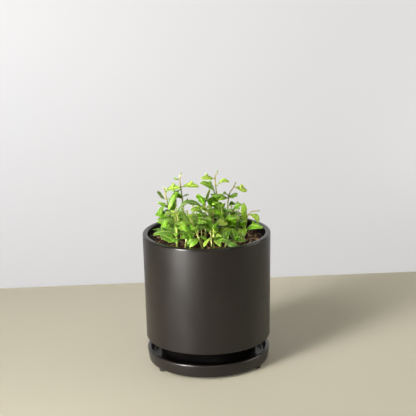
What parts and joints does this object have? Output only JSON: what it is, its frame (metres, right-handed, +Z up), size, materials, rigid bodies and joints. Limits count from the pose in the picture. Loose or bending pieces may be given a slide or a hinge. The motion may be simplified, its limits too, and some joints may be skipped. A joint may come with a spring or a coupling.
{
  "type": "potted string of dolphins",
  "caption": "Young trailing succulent with curved, finned leaves, growing upright in a dark cylinder pot raised on a foot over a shallow saucer with small pads.",
  "frame": {"origin": "on the floor under the middle of the pot, at the centre of the object's bounding box base", "axes": "+Z up, along the pot's axis; -Y is the front; +X is to the right seen from the front"},
  "size_m": [0.133, 0.133, 0.2005],
  "materials": {
    "pot_glaze": "satin, dark charcoal",
    "saucer_glaze": "satin, dark charcoal",
    "rubber_pad": "matt",
    "potting_mix": "coarse bark, coir and peat",
    "stem": "smooth, pale green to pinkish brown",
    "leaf": "smooth, slightly waxy"
  },
  "bodies": {
    "root": {"pot": "pot_glaze", "saucer": "saucer_glaze", "potting_mix": "potting_mix", "pad_left": "rubber_pad", "pad_right": "rubber_pad", "pad_rear": "rubber_pad", "stem_left": "stem", "leaf_left_1": "leaf", "leaf_left_2": "leaf", "leaf_left_3": "leaf", "leaf_left_4": "leaf", "leaf_left_5": "leaf", "leaf_left_6": "leaf", "stem_tall_left": "stem", "leaf_tall_left_1": "leaf", "leaf_tall_left_2": "leaf", "leaf_tall_left_3": "leaf", "leaf_tall_left_4": "leaf", "stem_middle": "stem", "leaf_middle_1": "leaf", "leaf_middle_2": "leaf", "leaf_middle_3": "leaf", "stem_tall_centre": "stem", "leaf_tall_centre_1": "leaf", "leaf_tall_centre_2": "leaf", "leaf_tall_centre_3": "leaf", "leaf_tall_centre_4": "leaf", "leaf_tall_centre_5": "leaf", "stem_tall_right": "stem", "leaf_tall_right_1": "leaf", "leaf_tall_right_2": "leaf", "leaf_tall_right_3": "leaf", "stem_right": "stem", "leaf_right_1": "leaf", "leaf_right_2": "leaf", "leaf_right_3": "leaf", "stem_far_right": "stem", "leaf_far_right_1": "leaf", "leaf_far_right_2": "leaf", "leaf_far_right_3": "leaf", "leaf_far_right_4": "leaf", "stem_front": "stem", "leaf_front_1": "leaf", "leaf_front_2": "leaf", "leaf_front_3": "leaf", "stem_front_right": "stem", "leaf_front_right_1": "leaf", "leaf_front_right_2": "leaf", "stem_front_left": "stem", "leaf_front_left_1": "leaf", "leaf_front_left_2": "leaf", "leaf_front_left_3": "leaf", "leaf_front_left_4": "leaf", "stem_back": "stem", "leaf_back_1": "leaf", "leaf_back_2": "leaf", "leaf_back_3": "leaf", "stem_centre": "stem", "leaf_centre_1": "leaf", "leaf_centre_2": "leaf"}
  },
  "joints": []
}
